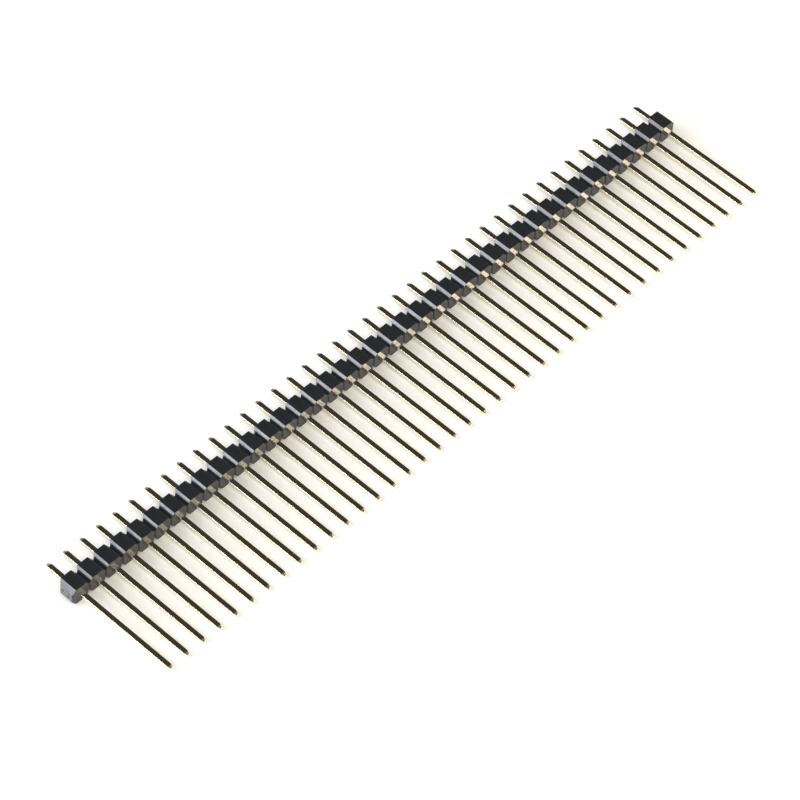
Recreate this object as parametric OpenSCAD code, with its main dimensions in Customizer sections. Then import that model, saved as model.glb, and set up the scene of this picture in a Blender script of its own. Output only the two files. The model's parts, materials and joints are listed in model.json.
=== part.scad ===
// Break-away pin header strip, one row, with long posts, lying as it comes to rest:
// on the front lower edge of its moulding and on the lower edges of its post tips.
// X runs along the row, the posts point to -Y, the short tails to +Y, and Z is up.
// The origin is under the middle of the strip, on the surface that it lies on.

/* [Row] */
// Number of pins in the row
positions = 40; // [2:1:50]
// Distance from one pin to the next
pitch = 2.54; // [2:0.01:3.2]

/* [Moulding] */
// Height of the moulding over its flat top and bottom
body_h = 2.54; // [1.8:0.01:4]
// Depth of the moulding from its front face to its back faces
body_d = 2.47; // [1.8:0.01:4]
// Width of the flat top of one segment, and of its back face
flat_w = 1.52; // [1:0.01:1.9]
// Height of the chamfers on both sides of a flat
chamfer_h = 0.62; // [0.2:0.01:0.8]
// Depth of the V-shaped notches between the backs of the segments
notch_d = 0.44; // [0.1:0.01:1]
// Width of the score line on the front face, where two segments meet
score_w = 0.3; // [0.1:0.01:0.5]
// Depth of the score line
score_d = 0.15; // [0.05:0.01:0.3]
// How far the snapped web stands proud of each end
stub_len = 0.1; // [0.02:0.01:0.2]
// Margin that the snapped web keeps from the edges of the end face
stub_margin = 0.12; // [0.02:0.01:0.25]

/* [Pins] */
// Side of the square pin wire
pin_w = 0.64; // [0.4:0.01:0.8]
// Length of the long posts, from the front face to their ends
post_len = 14.24; // [6:0.01:20]
// Length of the short tails, from the back faces to their ends
tail_len = 3.04; // [2:0.01:10]
// Length of the tapered point on each end of a pin
tip_len = 0.48; // [0.2:0.01:1]
// Side of the blunt end of a point
tip_w = 0.3; // [0.1:0.01:0.4]

/* [Hidden] */
pin_numbers = [1:positions];

// The segments' corners are cut down to the web that joins them
web_h = body_h - 2 * chamfer_h;
web_d = body_d - notch_d;
row_len = positions * pitch;

// The strip leans on its posts until their lower edges meet the surface
lean = atan((body_h - pin_w) / 2 / (post_len - tip_len));
rest_y = (post_len - body_d - tail_len) / 2 * cos(lean);
rest_z = body_h / 2 * cos(lean);

// What cuts a hole runs this far past both faces
overcut = 1;

function pin_name(n) = str("pin_", n < 10 ? "0" : "", n);
function pin_x(n) = (n - (positions + 1) / 2) * pitch;
function mirrored(points) = [for (i = [len(points) - 1:-1:0]) [points[i].x, -points[i].y]];

// Upper half of the strip's outline, seen from the front: a chain of bevelled segments
upper_outline = [
    for (n = pin_numbers)
        each [
            [pin_x(n) - pitch / 2, web_h / 2],
            [pin_x(n) - flat_w / 2, body_h / 2],
            [pin_x(n) + flat_w / 2, body_h / 2]
        ],
    [row_len / 2, web_h / 2]
];

// Turns a child made round the pins' axes about the front face into its place at rest
module at_rest() {
    translate([0, rest_y, rest_z])
        rotate([lean, 0, 0])
            children();
}

// Stands a shape drawn in the XZ plane up, from the front face back
module extrude_back(depth) {
    rotate([90, 0, 0])
        mirror([0, 0, 1])
            linear_extrude(depth)
                children();
}

module segment_chain() {
    extrude_back(body_d)
        polygon(concat(upper_outline, mirrored(upper_outline)));
}

// The rough web left at both ends where the strip was snapped from a longer one
module snapped_webs() {
    stub_d = web_d - score_d - 2 * stub_margin;
    stub_h = web_h - 2 * stub_margin;
    translate([0, (web_d + score_d) / 2, 0])
        cube([row_len + 2 * stub_len, stub_d, stub_h], center = true);
}

// Stands a cut drawn in the XY plane at every joint, and at both ends
module at_joints() {
    for (i = [0:positions])
        translate([(i - positions / 2) * pitch, 0, 0])
            linear_extrude(body_h + overcut, center = true)
                children();
}

module score_line() {
    polygon([[-score_w / 2, 0], [0, score_d], [score_w / 2, 0], [0, -score_d]]);
}

module back_notch() {
    half_w = (pitch - flat_w) / 2;
    polygon([
        [-half_w, body_d],
        [0, web_d],
        [half_w, body_d],
        [half_w, body_d + overcut],
        [-half_w, body_d + overcut]
    ]);
}

module pin_holes() {
    for (n = pin_numbers)
        translate([pin_x(n), body_d / 2, 0])
            cube([pin_w, body_d + 2 * overcut, pin_w], center = true);
}

module housing() {
    color([0.09, 0.09, 0.11])
        at_rest()
            difference() {
                union() {
                    segment_chain();
                    snapped_webs();
                }
                at_joints()
                    score_line();
                at_joints()
                    back_notch();
                pin_holes();
            }
}

// One side of a pin: straight wire with a tapered point at both ends
module pin_outline() {
    tail_end = body_d + tail_len;
    polygon([
        [-tip_w / 2, -post_len],
        [tip_w / 2, -post_len],
        [pin_w / 2, tip_len - post_len],
        [pin_w / 2, tail_end - tip_len],
        [tip_w / 2, tail_end],
        [-tip_w / 2, tail_end],
        [-pin_w / 2, tail_end - tip_len],
        [-pin_w / 2, tip_len - post_len]
    ]);
}

// Square wire pressed through the moulding, pointed on all four sides at both ends
module pin(n) {
    color([0.8, 0.66, 0.36])
        at_rest()
            translate([pin_x(n), 0, 0])
                intersection() {
                    linear_extrude(pin_w, center = true)
                        pin_outline();
                    rotate([0, 90, 0])
                        linear_extrude(pin_w, center = true)
                            pin_outline();
                }
}

housing();
for (n = pin_numbers)
    pin(n);
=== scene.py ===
"""A break-away pin header strip with long posts, lying on a pale table.

Run as a script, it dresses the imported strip: the moulding and each pin get a finished mesh and
a material of their own, and the stage gets its table, lamps and camera. Lengths are in metres,
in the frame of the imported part. The moulding and the pins are drawn in the strip's own frame:
X runs along the row, Y along the pins towards the short tails, and the origin is on the front
face of the moulding, at the level of the pins' axes.
"""

import json
import math

import bmesh
import bpy
from bpy.props import FloatProperty, FloatVectorProperty, PointerProperty
from mathutils import Matrix, Vector, noise


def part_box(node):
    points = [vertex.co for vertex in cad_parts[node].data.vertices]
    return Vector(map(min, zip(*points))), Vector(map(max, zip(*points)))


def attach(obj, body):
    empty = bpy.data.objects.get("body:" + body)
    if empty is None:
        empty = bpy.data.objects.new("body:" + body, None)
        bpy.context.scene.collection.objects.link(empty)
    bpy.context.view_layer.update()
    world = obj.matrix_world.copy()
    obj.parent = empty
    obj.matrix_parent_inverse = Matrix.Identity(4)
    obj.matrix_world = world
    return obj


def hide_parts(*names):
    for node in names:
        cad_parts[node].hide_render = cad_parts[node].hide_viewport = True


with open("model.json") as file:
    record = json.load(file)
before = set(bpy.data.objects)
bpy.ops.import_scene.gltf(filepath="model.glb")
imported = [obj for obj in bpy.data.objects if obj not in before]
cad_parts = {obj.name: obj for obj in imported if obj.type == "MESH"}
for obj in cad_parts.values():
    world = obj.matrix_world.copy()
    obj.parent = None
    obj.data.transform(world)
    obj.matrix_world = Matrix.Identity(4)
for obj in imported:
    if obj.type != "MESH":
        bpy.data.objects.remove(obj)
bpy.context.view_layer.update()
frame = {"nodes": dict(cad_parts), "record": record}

bl_info = {
    "name": "Pin Header Strip",
    "version": (1, 0, 0),
    "blender": (4, 5, 0),
    "location": "View3D > Sidebar > Pin Header",
    "description": "Builds the moulding, the pins and the table of a break-away pin header strip",
    "category": "Object",
}

MM = 0.001
PER_MM = 1 / MM


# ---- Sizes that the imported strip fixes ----


class Strip:
    """Place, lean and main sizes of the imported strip, read from its pins and its mounts."""

    def __init__(self):
        mounts = {m["name"]: m for m in frame["record"]["mounts"]}
        place = {name: Vector(m["pos_m"]) for name, m in mounts.items()}
        along = Vector(mounts["seating_face"]["axis"]).normalized()
        self.post_len = (place["post_side_face"] - place["mating_posts"]).dot(along)
        self.body_d = (place["seating_face"] - place["post_side_face"]).dot(along)
        self.tail_len = (place["solder_tails"] - place["seating_face"]).dot(along)
        origin = place["mating_posts"] + along * self.post_len
        self.body_h = 2 * origin.z / along.y
        lean = Matrix.Rotation(math.atan2(along.z, along.y), 4, "X")
        self.placement = Matrix.Translation(origin) @ lean

        self.pins = sorted(name for name in frame["nodes"] if name.startswith("pin_"))
        boxes = [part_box(name) for name in self.pins]
        self.pin_x = [(low.x + high.x) / 2 for low, high in boxes]
        self.pin_w = boxes[0][1].x - boxes[0][0].x
        self.pitch = (self.pin_x[-1] - self.pin_x[0]) / (len(self.pins) - 1)
        self.row_len = self.pitch * len(self.pins)
        low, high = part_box("housing")
        self.web_proud = (high.x - low.x - self.row_len) / 2


STRIP = Strip()


# ---- Colours and small helpers ----


def linear(hex_colour):
    """Linear RGB of an sRGB colour written as #rrggbb."""
    parts = [int(hex_colour[i : i + 2], 16) / 255 for i in (1, 3, 5)]
    return [c / 12.92 if c <= 0.04045 else ((c + 0.055) / 1.055) ** 2.4 for c in parts]


def size(name, description, millimetres, low, high):
    """A length that a user may change, given in millimetres."""
    return FloatProperty(
        name=name,
        description=description,
        default=millimetres * MM,
        min=low * MM,
        max=high * MM,
        precision=5,
        unit="LENGTH",
        subtype="DISTANCE",
    )


def colour(name, description, hex_colour):
    """A colour that a user may change, given as sRGB hex."""
    return FloatVectorProperty(
        name=name,
        description=description,
        default=linear(hex_colour),
        min=0,
        max=1,
        size=3,
        subtype="COLOR",
    )


def angle(name, description, degrees):
    """An angle that a user may change, given in degrees."""
    return FloatProperty(
        name=name, description=description, default=math.radians(degrees), unit="ROTATION"
    )


def smooth(t):
    """Eases from 0 to 1 as t goes from 0 to 1."""
    t = min(max(t, 0), 1)
    return t * t * (3 - 2 * t)


# ---- Settings ----


class MouldingSettings(bpy.types.PropertyGroup):
    flat_w: size("Flat width", "Width of a segment's flat top and of its back face", 1.52, 1, 1.9)
    chamfer_h: size("Chamfer height", "Height of the chamfers beside the flats", 0.62, 0.2, 1)
    notch_d: size("Notch depth", "Depth of the notches between the backs of segments", 0.44, 0.1, 1)
    score_w: size("Score width", "Width of the score line between two segments", 0.3, 0.1, 0.5)
    score_d: size("Score depth", "Depth of the score line", 0.15, 0.05, 0.3)
    edge_radius: size("Edge radius", "Radius that the mould leaves on outer edges", 0.07, 0.01, 0.1)
    hole_radius: size("Hole edge radius", "Radius on the edges of the pin holes", 0.05, 0.005, 0.1)
    snap_step: size("Fracture step", "Spacing of the mesh on a snapped end", 0.04, 0.02, 0.1)
    plastic: colour("Plastic", "Colour of the moulded plastic", "#25272B")
    fracture: colour("Fracture", "Stress-whitened colour of a snapped end", "#82827F")


class PinSettings(bpy.types.PropertyGroup):
    tip_len: size("Point length", "Length of the tapered point on each end", 0.48, 0.2, 1)
    tip_w: size("Point width", "Side of the blunt end of a point", 0.3, 0.1, 0.4)
    edge_radius: size("Wire edge radius", "Radius on the long edges of the wire", 0.04, 0.01, 0.15)
    end_radius: size("End radius", "Radius round the blunt end of a point", 0.045, 0.01, 0.1)
    plating: colour("Plating", "Colour of the gold plating", "#F2EAD8")
    worn: colour("Thin plating", "Colour where the plating is thinner over nickel", "#F0EBE0")


class StageSettings(bpy.types.PropertyGroup):
    table: colour("Table", "Colour of the table top", "#FCFBF8")
    azimuth: angle("Azimuth", "Camera's way round the strip, 0 looking along +Y", -47.02)
    elevation: angle("Elevation", "Camera's height above the horizon", 48.84)
    roll: angle("Roll", "Camera's turn about its own axis", 0.36)
    distance: size("Distance", "From the camera to the point it looks at", 468.5, 100, 2000)
    lens: FloatProperty(name="Lens", description="Focal length in mm", default=182.9, min=20)
    dome: FloatProperty(name="Dome", description="Strength of the light all round", default=1.24)
    flag: colour("Flag", "Colour of the dark flag behind on the right", "#3C382E")
    flag_inner: angle("Flag inside", "From the middle of the flag to where it fades", 40)
    flag_outer: angle("Flag edge", "From the middle of the flag to its edge", 46)


# ---- Materials ----


def add_node(tree, kind, inputs=None, **settings):
    """Adds a node, sets its properties, and fills its sockets with values or links."""
    node = tree.nodes.new(kind)
    for name, value in settings.items():
        setattr(node, name, value)
    for socket_name, value in (inputs or {}).items():
        socket = node.inputs[socket_name]
        if isinstance(value, bpy.types.NodeSocket):
            tree.links.new(value, socket)
        elif isinstance(value, (list, tuple)) and len(value) == 3 and socket.type == "RGBA":
            socket.default_value = (*value, 1)
        else:
            socket.default_value = value
    return node


def new_material(name):
    """An empty material, with its node tree and its output node."""
    material = bpy.data.materials.new(name)
    material.use_nodes = True
    material.node_tree.nodes.clear()
    output = material.node_tree.nodes.new("ShaderNodeOutputMaterial")
    return material, material.node_tree, output


def strip_pattern(tree, *feature_mm):
    """Coordinates in the strip's own frame, one unit to a feature of those millimetres.

    One size is the same all ways, and three are along the row, along the pins and upwards.
    """
    sizes = feature_mm if len(feature_mm) == 3 else feature_mm * 3
    place = add_node(tree, "ShaderNodeTexCoord").outputs["Object"]
    return add_node(
        tree,
        "ShaderNodeMapping",
        {
            "Vector": place,
            "Location": tuple(STRIP.placement.translation),
            "Rotation": tuple(STRIP.placement.to_euler()),
            "Scale": tuple(mm * MM for mm in sizes),
        },
        vector_type="TEXTURE",
    ).outputs["Vector"]


NYLON_IOR = 1.53
# Colour of the glass fibres that show through the skin
FIBRE_FLECK = "#404247"


def moulded_nylon(settings):
    """Glass-filled nylon, injection moulded: near black, with a satin gloss that varies a little.

    The spark-eroded mould leaves a fine grain that softens reflections. Short glass fibres
    near the skin show as faint paler flecks along the flow, and the skin sinks slightly
    between them, so that highlights aren't quite even.
    """
    material, tree, output = new_material("glass_filled_nylon_moulded")
    # Fibres are about 0.3 mm long and 0.01 mm thick. They are drawn thicker, so that they show.
    fibres = add_node(
        tree,
        "ShaderNodeTexNoise",
        {"Vector": strip_pattern(tree, 0.3, 0.06, 0.06), "Scale": 1.0, "Detail": 2.0},
    ).outputs["Fac"]
    # Only the highest crests show as flecks, and faintly
    fleck = add_node(
        tree,
        "ShaderNodeMapRange",
        {"Value": fibres, "From Min": 0.56, "From Max": 0.75, "To Min": 0.0, "To Max": 0.35},
    ).outputs["Result"]
    tint = add_node(
        tree,
        "ShaderNodeMix",
        {"Factor": fleck, "A": tuple(settings.plastic), "B": tuple(linear(FIBRE_FLECK))},
        data_type="RGBA",
    ).outputs[2]
    # Cloudiness of the skin, about 1.2 mm across
    cloud = add_node(
        tree, "ShaderNodeTexNoise", {"Vector": strip_pattern(tree, 1.2), "Scale": 1.0}
    ).outputs["Fac"]
    gloss = add_node(
        tree,
        "ShaderNodeMapRange",
        {"Value": cloud, "From Min": 0.3, "From Max": 0.7, "To Min": 0.17, "To Max": 0.25},
    ).outputs["Result"]
    # Grain of the mould, 0.05 mm across
    grain = add_node(
        tree, "ShaderNodeTexNoise", {"Vector": strip_pattern(tree, 0.05), "Scale": 1.0}
    ).outputs["Fac"]
    fine = add_node(
        tree, "ShaderNodeBump", {"Height": grain, "Strength": 0.1, "Distance": 0.005 * MM}
    ).outputs["Normal"]
    skin = add_node(
        tree,
        "ShaderNodeBump",
        {"Height": cloud, "Strength": 0.3, "Distance": 0.02 * MM, "Normal": fine},
    ).outputs["Normal"]
    shader = add_node(
        tree,
        "ShaderNodeBsdfPrincipled",
        {"Base Color": tint, "Roughness": gloss, "Normal": skin, "IOR": NYLON_IOR},
    )
    tree.links.new(shader.outputs[0], output.inputs["Surface"])
    return material


def snapped_nylon(settings):
    """Glass-filled nylon, snapped by hand: a dull, mottled grey fracture.

    Stress whitens the torn plastic and bares the fibre ends, so that it looks chalky and
    speckled beside the moulded skin, with darker spots where it tore cleanly.
    """
    material, tree, output = new_material("glass_filled_nylon_snapped")
    # Whitened patches are about half a millimetre across, and the crumbs 0.07 mm.
    tear = add_node(
        tree,
        "ShaderNodeTexNoise",
        {"Vector": strip_pattern(tree, 0.45), "Scale": 1.0, "Detail": 5.0},
    ).outputs["Fac"]
    crumbs = add_node(
        tree, "ShaderNodeTexVoronoi", {"Vector": strip_pattern(tree, 0.07), "Scale": 1.0}
    ).outputs["Distance"]
    patch = add_node(
        tree,
        "ShaderNodeMapRange",
        {"Value": tear, "From Min": 0.36, "From Max": 0.56, "To Min": 0.35, "To Max": 1.0},
    ).outputs["Result"]
    grit = add_node(
        tree,
        "ShaderNodeMapRange",
        {"Value": crumbs, "From Min": 0.0, "From Max": 0.7, "To Min": 1.1, "To Max": 0.8},
    ).outputs["Result"]
    whitened = add_node(
        tree, "ShaderNodeMath", {0: patch, 1: grit}, operation="MULTIPLY", use_clamp=True
    ).outputs[0]
    tint = add_node(
        tree,
        "ShaderNodeMix",
        {"Factor": whitened, "A": tuple(settings.plastic), "B": tuple(settings.fracture)},
        data_type="RGBA",
    ).outputs[2]
    relief = add_node(
        tree, "ShaderNodeBump", {"Height": crumbs, "Strength": 0.5, "Distance": 0.02 * MM}
    ).outputs["Normal"]
    shader = add_node(
        tree,
        "ShaderNodeBsdfPrincipled",
        {"Base Color": tint, "Roughness": 0.6, "Normal": relief, "IOR": NYLON_IOR},
    )
    tree.links.new(shader.outputs[0], output.inputs["Surface"])
    return material


def gold_plated_wire(settings):
    """Copper alloy wire, drawn square and electroplated with thin gold over nickel.

    It is bright and mirrors the table and the moulding. The die leaves fine lines along the
    wire that stretch highlights lengthwise, and the plating is a little paler where it is thin.
    """
    material, tree, output = new_material("gold_plated_drawn_wire")
    # Die lines are 0.02 mm apart and 4 mm long. They are drawn coarser, so that they show.
    lines = add_node(
        tree,
        "ShaderNodeTexNoise",
        {"Vector": strip_pattern(tree, 0.06, 6.0, 0.06), "Scale": 1.0, "Detail": 1.0},
    ).outputs["Fac"]
    # The bath's deposit varies from pin to pin and over about 3 mm of each
    deposit = add_node(
        tree, "ShaderNodeTexNoise", {"Vector": strip_pattern(tree, 3.0), "Scale": 1.0}
    ).outputs["Fac"]
    thin = add_node(
        tree, "ShaderNodeMapRange", {"Value": deposit, "From Min": 0.35, "From Max": 0.65}
    ).outputs["Result"]
    tint = add_node(
        tree,
        "ShaderNodeMix",
        {"Factor": thin, "A": tuple(settings.plating), "B": tuple(settings.worn)},
        data_type="RGBA",
    ).outputs[2]
    gloss = add_node(
        tree,
        "ShaderNodeMapRange",
        {"Value": lines, "From Min": 0.3, "From Max": 0.7, "To Min": 0.14, "To Max": 0.2},
    ).outputs["Result"]
    relief = add_node(
        tree, "ShaderNodeBump", {"Height": lines, "Strength": 0.1, "Distance": 0.003 * MM}
    ).outputs["Normal"]
    shader = add_node(
        tree,
        "ShaderNodeBsdfPrincipled",
        {"Base Color": tint, "Metallic": 1.0, "Roughness": gloss, "Normal": relief},
    )
    tree.links.new(shader.outputs[0], output.inputs["Surface"])
    return material


# Strength of the table's own glow, where 1 is white
TABLE_GLOW = 0.14


def table_laminate(settings):
    """White laminate, pressed: a matt pale sheet that keeps soft contact shadows.

    To the eye, and in what mirrors it, the sheet glows a little, so that it stays white away
    from the strip. The glow lights nothing else.
    """
    material, tree, output = new_material("white_laminate_pressed")
    # Pressed texture of the sheet, 0.6 mm across
    texture = add_node(
        tree, "ShaderNodeTexNoise", {"Vector": strip_pattern(tree, 0.6), "Scale": 1.0}
    ).outputs["Fac"]
    relief = add_node(
        tree,
        "ShaderNodeBump",
        {"Height": texture, "Strength": 0.05, "Distance": 0.01 * MM},
    ).outputs["Normal"]
    sheet = add_node(
        tree,
        "ShaderNodeBsdfDiffuse",
        {"Color": tuple(settings.table), "Normal": relief},
    ).outputs[0]
    path = add_node(tree, "ShaderNodeLightPath").outputs
    seen = add_node(
        tree,
        "ShaderNodeMath",
        {0: path["Is Camera Ray"], 1: path["Is Glossy Ray"]},
        operation="MAXIMUM",
    ).outputs[0]
    seen = add_node(
        tree,
        "ShaderNodeMath",
        {0: seen, 1: path["Is Transmission Ray"]},
        operation="MAXIMUM",
    ).outputs[0]
    strength = add_node(
        tree, "ShaderNodeMath", {0: seen, 1: TABLE_GLOW}, operation="MULTIPLY"
    ).outputs[0]
    glow = add_node(tree, "ShaderNodeEmission", {"Strength": strength}).outputs[0]
    both = add_node(tree, "ShaderNodeAddShader", {0: sheet, 1: glow}).outputs[0]
    tree.links.new(both, output.inputs["Surface"])
    return material


# ---- Meshes ----


class Shell:
    """Collects flat faces by their corner points. Faces that meet share their vertices."""

    WELD = 1e-8

    def __init__(self):
        self.mesh = bmesh.new()
        self.known = {}

    def vertex(self, point):
        key = tuple(round(c / self.WELD) for c in point)
        if key not in self.known:
            self.known[key] = self.mesh.verts.new(point)
        return self.known[key]

    def face(self, *points, material=0):
        made = self.mesh.faces.new([self.vertex(p) for p in points])
        made.material_index = material
        return made

    def to_object(self, name, materials):
        """Turns the faces into an object, moved from the strip's own frame into its place."""
        bmesh.ops.recalc_face_normals(self.mesh, faces=self.mesh.faces)
        self.mesh.transform(STRIP.placement)
        for made in self.mesh.faces:
            made.smooth = True
        data = bpy.data.meshes.new(name)
        self.mesh.to_mesh(data)
        self.mesh.free()
        for material in materials:
            data.materials.append(material)
        piece = bpy.data.objects.new(name, data)
        bpy.context.scene.collection.objects.link(piece)
        return piece


MOULDED, SNAPPED = 0, 1

# Torn surface: lumps per millimetre and their share of its height, from broad to crumbs
TEAR_LAYERS = ((1.6, 0.55), (6.0, 0.3), (17.0, 0.12))
# Its lowest point as a share of its full height, and the flush border that it rises over
TEAR_LOWEST = 0.02
TEAR_BORDER = 0.12 * MM
# How far apart the two ends take their noise, so that they tear differently
TEAR_APART = 7.0


class Segment:
    """One bevelled segment of the moulding, with its notch walls and its square pin hole."""

    def __init__(self, shell, settings, x, open_ends):
        self.shell = shell
        self.x = x
        self.open_ends = open_ends
        self.step = settings.snap_step
        self.score_d = settings.score_d
        self.web_d = STRIP.body_d - settings.notch_d
        web = STRIP.body_h / 2 - settings.chamfer_h
        half_score = settings.score_w / 2
        slope = settings.chamfer_h / ((STRIP.pitch - settings.flat_w) / 2)
        # Distance from the middle and height of each line that runs from front to back
        self.lines = {
            "joint": (STRIP.pitch / 2, web),
            "score": (STRIP.pitch / 2 - half_score, web + half_score * slope),
            "flat": (settings.flat_w / 2, STRIP.body_h / 2),
            "hole": (STRIP.pin_w / 2, STRIP.pin_w / 2),
        }

    def at(self, line, side, up, y):
        """Corner on a line, on the side -1 or 1, above for up 1 and below for -1, at depth y."""
        across, height = self.lines[line]
        return Vector((self.x + side * across, y, up * height))

    def joint_run(self, side, start, end):
        """Points from start up to end. They are close together where the strip was snapped."""
        if side not in self.open_ends:
            return [start]
        count = round((end - start).length / self.step)
        return [start.lerp(end, i / count) for i in range(count)]

    def build(self):
        at, face = self.at, self.shell.face
        front, back = 0, STRIP.body_d
        for up in (-1, 1):
            face(
                at("flat", -1, up, front),
                at("flat", 1, up, front),
                at("flat", 1, up, back),
                at("flat", -1, up, back),
            )
            for y in (front, back):
                face(
                    at("flat", -1, up, y),
                    at("flat", 1, up, y),
                    at("hole", 1, up, y),
                    at("hole", -1, up, y),
                )
            self.hole_wall(at("hole", -1, up, front), at("hole", 1, up, front))
        for side in (-1, 1):
            self.flank(side)

    def hole_wall(self, start, end):
        depth = Vector((0, STRIP.body_d, 0))
        self.shell.face(start, end, end + depth, start + depth)

    def flank(self, side):
        """Everything between the flats and the joint on one side."""
        at, face = self.at, self.shell.face
        front, back = 0, STRIP.body_d
        face(
            at("flat", side, -1, front),
            at("score", side, -1, front),
            at("score", side, 1, front),
            at("flat", side, 1, front),
            at("hole", side, 1, front),
            at("hole", side, -1, front),
        )
        face(
            at("flat", side, -1, back),
            at("flat", side, 1, back),
            at("hole", side, 1, back),
            at("hole", side, -1, back),
        )
        self.hole_wall(at("hole", side, -1, front), at("hole", side, 1, front))
        low_front = at("joint", side, -1, self.score_d)
        high_front = at("joint", side, 1, self.score_d)
        low_back = at("joint", side, -1, self.web_d)
        high_back = at("joint", side, 1, self.web_d)
        face(
            *self.joint_run(side, low_front, high_front),
            high_front,
            at("score", side, 1, front),
            at("score", side, -1, front),
        )
        face(
            *self.joint_run(side, low_back, high_back),
            high_back,
            at("flat", side, 1, back),
            at("flat", side, -1, back),
        )
        for up, joint_front, joint_back in ((-1, low_front, low_back), (1, high_front, high_back)):
            face(
                *self.joint_run(side, joint_front, joint_back),
                joint_back,
                at("flat", side, up, back),
                at("flat", side, up, front),
                at("score", side, up, front),
            )
        if side in self.open_ends:
            self.snapped_end(side, low_front, high_back)

    def snapped_end(self, side, low, high):
        """Rough fracture over the end of the web, flush round its border and proud inside."""
        rows = round((high.z - low.z) / self.step)
        columns = round((high.y - low.y) / self.step)

        def point(i, j):
            y = low.y + (high.y - low.y) * i / columns
            z = low.z + (high.z - low.z) * j / rows
            inset = min(y - low.y, high.y - y, z - low.z, high.z - z)
            return Vector((low.x + side * self.tear(side, y, z, inset), y, z))

        grid = [[point(i, j) for j in range(rows + 1)] for i in range(columns + 1)]
        for near, far in zip(grid, grid[1:]):
            for j in range(rows):
                self.shell.face(near[j], far[j], far[j + 1], near[j + 1], material=SNAPPED)

    def tear(self, side, y, z, inset):
        """Height of the torn surface over the end plane."""
        place = Vector((side * TEAR_APART, y * PER_MM, z * PER_MM))
        height = 0.5
        for per_mm, share in TEAR_LAYERS:
            height += share * noise.noise(place * per_mm)
        height = min(max(height, TEAR_LOWEST), 1)
        return STRIP.web_proud * height * smooth(inset / TEAR_BORDER)


def mark_edges(mesh, settings):
    """Weights each edge for the bevel: outer edges full, pin holes small, torn borders none."""
    bmesh.ops.recalc_face_normals(mesh, faces=mesh.faces)
    weight = mesh.edges.layers.float.new("bevel_weight_edge")
    sharp = math.radians(25)
    rounding_error = 1e-7
    reach = STRIP.pin_w / 2 + rounding_error
    for edge in mesh.edges:
        torn = any(f.material_index == SNAPPED for f in edge.link_faces)
        if torn or edge.calc_face_angle(0) < sharp:
            continue
        near_pin = all(
            abs(v.co.z) < reach and min(abs(v.co.x - x) for x in STRIP.pin_x) < reach
            for v in edge.verts
        )
        edge[weight] = settings.hole_radius / settings.edge_radius if near_pin else 1


def add_moulding(settings):
    """The whole moulding in one shell, with its edges rounded and both ends snapped."""
    shell = Shell()
    last = len(STRIP.pin_x) - 1
    for i, x in enumerate(STRIP.pin_x):
        open_ends = {side for side, end in ((-1, 0), (1, last)) if i == end}
        Segment(shell, settings, x, open_ends).build()
    mark_edges(shell.mesh, settings)
    moulding = shell.to_object(
        "header_moulding", [moulded_nylon(settings), snapped_nylon(settings)]
    )
    edges = moulding.modifiers.new("mould_radius", "BEVEL")
    edges.limit_method = "WEIGHT"
    edges.width = settings.edge_radius
    edges.segments = 3
    normals = moulding.modifiers.new("flat_faces", "WEIGHTED_NORMAL")
    normals.keep_sharp = True
    return moulding


# Steps round a corner of the wire, round the blunt end of a point, and along the ease
CORNER_STEPS, END_STEPS, EASE_STEPS = 4, 3, 4
# Reach of the eased bend each way from a point's base, and of the flats' rings past a curve
POINT_EASE = 0.12 * MM
RING_BESIDE = 0.01 * MM


def wire_ring(half, radius, y):
    """Points round the wire at depth y, a square of that half width with rounded corners."""
    points = []
    for corner in range(4):
        start = corner * math.pi / 2
        middle = Vector((math.cos(start + math.pi / 4), 0, math.sin(start + math.pi / 4)))
        middle *= (half - radius) * math.sqrt(2)
        for i in range(CORNER_STEPS + 1):
            turn = start + math.pi / 2 * i / CORNER_STEPS
            points.append(middle + Vector((radius * math.cos(turn), y, radius * math.sin(turn))))
    return points


def point_profile(settings):
    """(distance from the blunt end, half width) pairs from the end to the full wire."""
    full, blunt = STRIP.pin_w / 2, settings.tip_w / 2
    slope = (full - blunt) / settings.tip_len
    radius = settings.end_radius
    profile = []
    for i in range(END_STEPS + 1):
        turn = math.pi / 2 * i / END_STEPS
        away = radius * (1 - math.cos(turn))
        profile.append((away, blunt - radius * (1 - math.sin(turn)) + slope * away))
    # A ring close beside each curve keeps the facets between them flat
    for away in (radius + RING_BESIDE, settings.tip_len - POINT_EASE - RING_BESIDE):
        profile.append((away, blunt + slope * away))
    for i in range(EASE_STEPS + 1):
        t = i / EASE_STEPS
        away = settings.tip_len + POINT_EASE * (2 * t - 1)
        profile.append((away, full - slope * POINT_EASE * (1 - t) ** 2))
    profile.append((settings.tip_len + POINT_EASE + RING_BESIDE, full))
    return profile


def add_pin(name, x, settings, plating):
    """One straight pin, lofted through rings of square wire from its post tip to its tail."""
    shell = Shell()
    start, end = -STRIP.post_len, STRIP.body_d + STRIP.tail_len
    profile = point_profile(settings)
    stations = [(start + away, half) for away, half in profile]
    stations += [(end - away, half) for away, half in reversed(profile)]
    rings = []
    for y, half in stations:
        radius = settings.edge_radius * half / (STRIP.pin_w / 2)
        rings.append([p + Vector((x, 0, 0)) for p in wire_ring(half, radius, y)])
    for near, far in zip(rings, rings[1:]):
        for i in range(len(near)):
            shell.face(near[i - 1], near[i], far[i], far[i - 1])
    shell.face(*rings[0])
    shell.face(*rings[-1])
    pin = shell.to_object(name, [plating])
    normals = pin.modifiers.new("flat_faces", "WEIGHTED_NORMAL")
    # The large faces alone decide, so that the flats shade flat
    normals.weight = 100
    return pin


# ---- Stage ----


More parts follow.
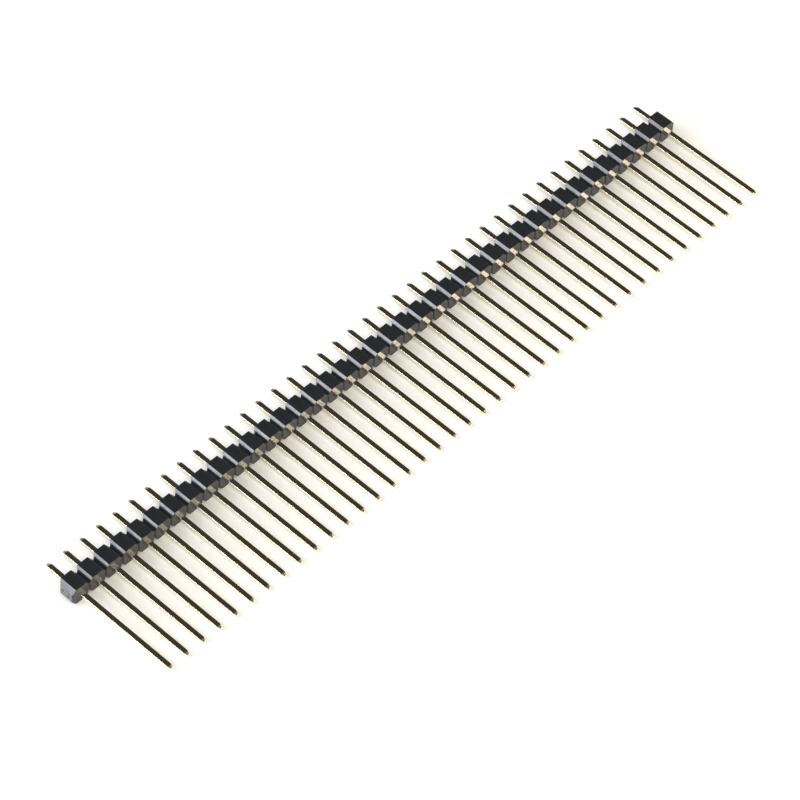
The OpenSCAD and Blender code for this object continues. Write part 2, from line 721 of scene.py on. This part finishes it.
def add_table(settings):
    """A table top that reaches out of sight all round."""
    half_width = 4.0
    mesh = bmesh.new()
    bmesh.ops.create_grid(mesh, x_segments=8, y_segments=8, size=half_width)
    data = bpy.data.meshes.new("table_top")
    mesh.to_mesh(data)
    mesh.free()
    data.materials.append(table_laminate(settings))
    table = bpy.data.objects.new("table_top", data)
    bpy.context.scene.collection.objects.link(table)
    return table


# Name, direction from the strip, width and height in metres, radiance and tint. The first
# shows in the left chamfers, the last in the front faces behind the posts.
SOFTBOXES = (
    ("left_softbox", (-0.86, 0.38, 0.36), (0.3, 0.24), 10, "#F7FAFF"),
    ("back_left_softbox", (-0.55, 0.6, 0.58), (0.5, 0.5), 2.6, "#D2E8FF"),
    ("front_right_softbox", (0.55, -0.49, 0.68), (0.26, 0.26), 8, "#FFF6E8"),
)
SOFTBOX_DISTANCE = 1.0


def add_softbox(name, toward, sides, radiance, tint):
    """A flat lamp that faces the strip from the direction toward."""
    width, height = sides
    # An area lamp's radiance is its power over four times its area
    four_areas = 4 * width * height
    lamp = bpy.data.lights.new(name, "AREA")
    lamp.shape = "RECTANGLE"
    lamp.size = width
    lamp.size_y = height
    lamp.energy = four_areas * radiance
    lamp.color = linear(tint)
    softbox = bpy.data.objects.new(name, lamp)
    bpy.context.scene.collection.objects.link(softbox)
    toward = Vector(toward).normalized()
    softbox.location = toward * SOFTBOX_DISTANCE
    softbox.rotation_euler = toward.to_track_quat("Z", "Y").to_euler()
    softbox.visible_camera = False


# The point that the camera looks at, near the middle of the strip
AIM = Vector((-4.45, -1.60, 1.0)) * MM


def add_camera(settings):
    camera = bpy.data.objects.new("camera", bpy.data.cameras.new("camera"))
    bpy.context.scene.collection.objects.link(camera)
    camera.data.lens = settings.lens
    camera.data.clip_start = 0.01
    camera.data.clip_end = 20
    turn = (
        Matrix.Rotation(settings.azimuth, 4, "Z")
        @ Matrix.Rotation(math.pi / 2 - settings.elevation, 4, "X")
        @ Matrix.Rotation(settings.roll, 4, "Z")
    )
    back = Matrix.Translation((0, 0, settings.distance))
    camera.matrix_world = Matrix.Translation(AIM) @ turn @ back
    bpy.context.scene.camera = camera


# Where the dome is warmest, its tints away from there and towards it, and the dark flag's place
WARM_DIRECTION = (0.3, -1, 0)
DOME_BACK, DOME_FRONT = "#F8FBFF", "#FFF5E3"
FLAG_DIRECTION = (0.48, 0.3, 0.82)


def add_world(settings):
    """A pale dome all round, a little warm in front, with a dark flag behind on the right.

    The tops of the moulding and of the pins mirror the flag, and so look dark.
    """
    world = bpy.data.worlds.new("studio")
    world.use_nodes = True
    tree = world.node_tree
    tree.nodes.clear()
    toward = add_node(tree, "ShaderNodeTexCoord").outputs["Generated"]

    def nearness(direction):
        """Cosine of the angle between a ray and a direction."""
        middle = tuple(Vector(direction).normalized())
        inputs = {0: toward, 1: middle}
        return add_node(
            tree, "ShaderNodeVectorMath", inputs, operation="DOT_PRODUCT"
        ).outputs["Value"]

    front = add_node(
        tree,
        "ShaderNodeMapRange",
        {"Value": nearness(WARM_DIRECTION), "From Min": -0.5, "From Max": 0.5},
    ).outputs["Result"]
    pale = add_node(
        tree,
        "ShaderNodeMix",
        {"Factor": front, "A": tuple(linear(DOME_BACK)), "B": tuple(linear(DOME_FRONT))},
        data_type="RGBA",
    ).outputs[2]
    pale = add_node(tree, "ShaderNodeBackground", {"Color": pale, "Strength": settings.dome})
    dark = add_node(tree, "ShaderNodeBackground", {"Color": tuple(settings.flag)})
    shade = add_node(
        tree,
        "ShaderNodeMapRange",
        {
            "Value": nearness(FLAG_DIRECTION),
            "From Min": math.cos(settings.flag_outer),
            "From Max": math.cos(settings.flag_inner),
        },
        interpolation_type="SMOOTHSTEP",
    ).outputs["Result"]
    dome = add_node(
        tree, "ShaderNodeMixShader", {0: shade, 1: pale.outputs[0], 2: dark.outputs[0]}
    )
    output = add_node(tree, "ShaderNodeOutputWorld")
    tree.links.new(dome.outputs[0], output.inputs["Surface"])
    bpy.context.scene.world = world


# ---- Operators ----


class PINHEADER_OT_moulding(bpy.types.Operator):
    """Builds the black moulding with its score lines, notches and snapped ends"""

    bl_idname = "pin_header.moulding"
    bl_label = "Moulding"

    def execute(self, context):
        moulding = add_moulding(context.scene.pin_header_moulding)
        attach(moulding, "root")
        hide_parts("housing")
        return {"FINISHED"}


class PINHEADER_OT_pins(bpy.types.Operator):
    """Builds every gold-plated pin, with its rounded edges and tapered points"""

    bl_idname = "pin_header.pins"
    bl_label = "Pins"

    def execute(self, context):
        settings = context.scene.pin_header_pins
        plating = gold_plated_wire(settings)
        for node, x in zip(STRIP.pins, STRIP.pin_x):
            pin = add_pin(node.replace("pin", "contact_pin"), x, settings, plating)
            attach(pin, "root")
            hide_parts(node)
        return {"FINISHED"}


class PINHEADER_OT_stage(bpy.types.Operator):
    """Lays the table and sets up the lamps and the camera"""

    bl_idname = "pin_header.stage"
    bl_label = "Stage"

    def execute(self, context):
        settings = context.scene.pin_header_stage
        context.scene.view_settings.view_transform = "Standard"
        add_table(settings)
        add_world(settings)
        for softbox in SOFTBOXES:
            add_softbox(*softbox)
        add_camera(settings)
        return {"FINISHED"}


class PINHEADER_PT_sidebar(bpy.types.Panel):
    """Lists the builders of the strip's pieces and of its stage"""

    bl_label = "Pin Header Strip"
    bl_idname = "PINHEADER_PT_sidebar"
    bl_space_type = "VIEW_3D"
    bl_region_type = "UI"
    bl_category = "Pin Header"

    def draw(self, context):
        for operator in OPERATORS:
            self.layout.operator(operator.bl_idname)


OPERATORS = (PINHEADER_OT_moulding, PINHEADER_OT_pins, PINHEADER_OT_stage)
SETTINGS = {
    "pin_header_moulding": MouldingSettings,
    "pin_header_pins": PinSettings,
    "pin_header_stage": StageSettings,
}


def register():
    for group in SETTINGS.values():
        bpy.utils.register_class(group)
    for name, group in SETTINGS.items():
        setattr(bpy.types.Scene, name, PointerProperty(type=group))
    for shown in (*OPERATORS, PINHEADER_PT_sidebar):
        bpy.utils.register_class(shown)


def unregister():
    for shown in reversed((*OPERATORS, PINHEADER_PT_sidebar)):
        bpy.utils.unregister_class(shown)
    for name in SETTINGS:
        delattr(bpy.types.Scene, name)
    for group in reversed(tuple(SETTINGS.values())):
        bpy.utils.unregister_class(group)


def main():
    register()
    bpy.ops.pin_header.moulding()
    bpy.ops.pin_header.pins()
    bpy.ops.pin_header.stage()


if __name__ == "__main__":
    main()
